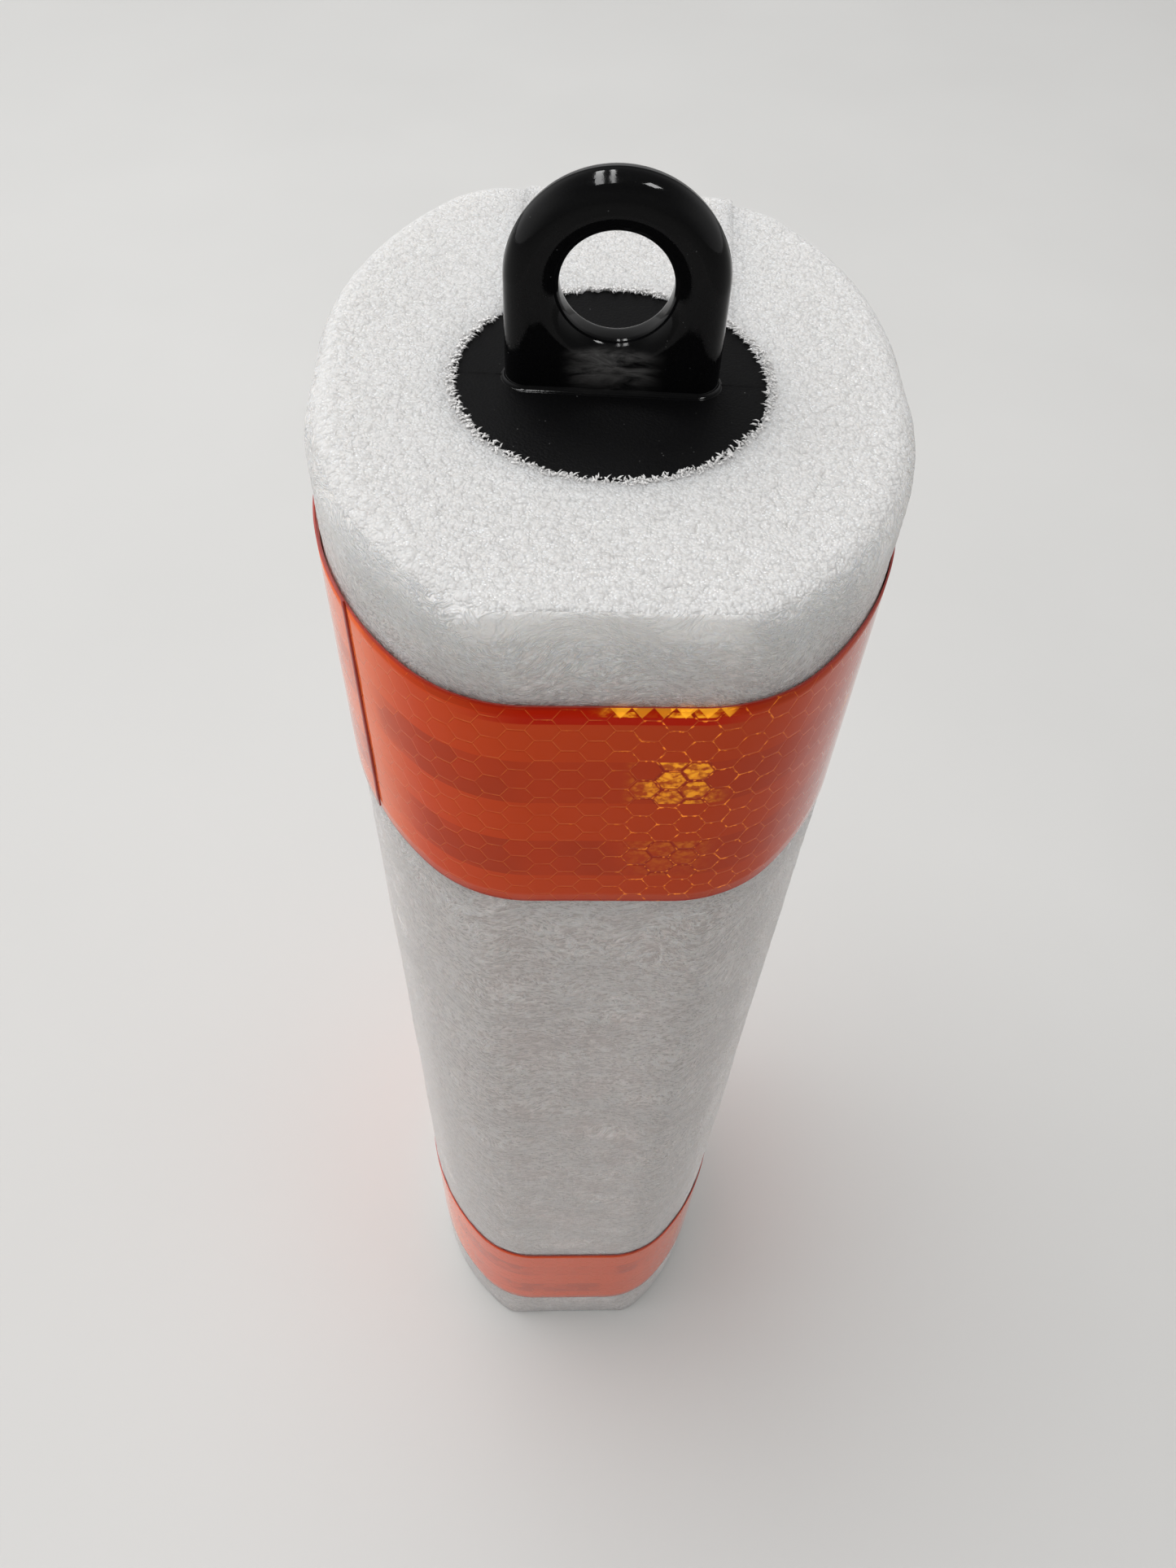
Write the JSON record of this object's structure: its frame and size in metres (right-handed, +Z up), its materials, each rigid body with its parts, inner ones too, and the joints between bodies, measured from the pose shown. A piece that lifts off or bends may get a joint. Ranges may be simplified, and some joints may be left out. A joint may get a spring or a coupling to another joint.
{
  "type": "foam marker post",
  "caption": "Short marker post with a white foam sleeve over a plastic tube, a hanging eye plugged into the top and two wrapped bands of orange reflective tape.",
  "frame": {"origin": "on the tube's axis, on the flat foot that the post stands on", "axes": "+Z up along the post; X lies in the plane of the eye; the sleeve's flat front faces -Y and its closed slot faces +Y"},
  "size_m": [0.0915, 0.1088, 0.3808],
  "materials": {
    "foam": "matte",
    "foam_strip": "matte",
    "tube": "satin",
    "plug": "satin",
    "tape": "gloss"
  },
  "bodies": {
    "root": {"foam_sleeve": "foam", "foam_key": "foam_strip", "core_tube": "tube", "eye_plug": "plug", "base_plug": "plug", "upper_band": "tape", "lower_band": "tape"}
  },
  "joints": []
}
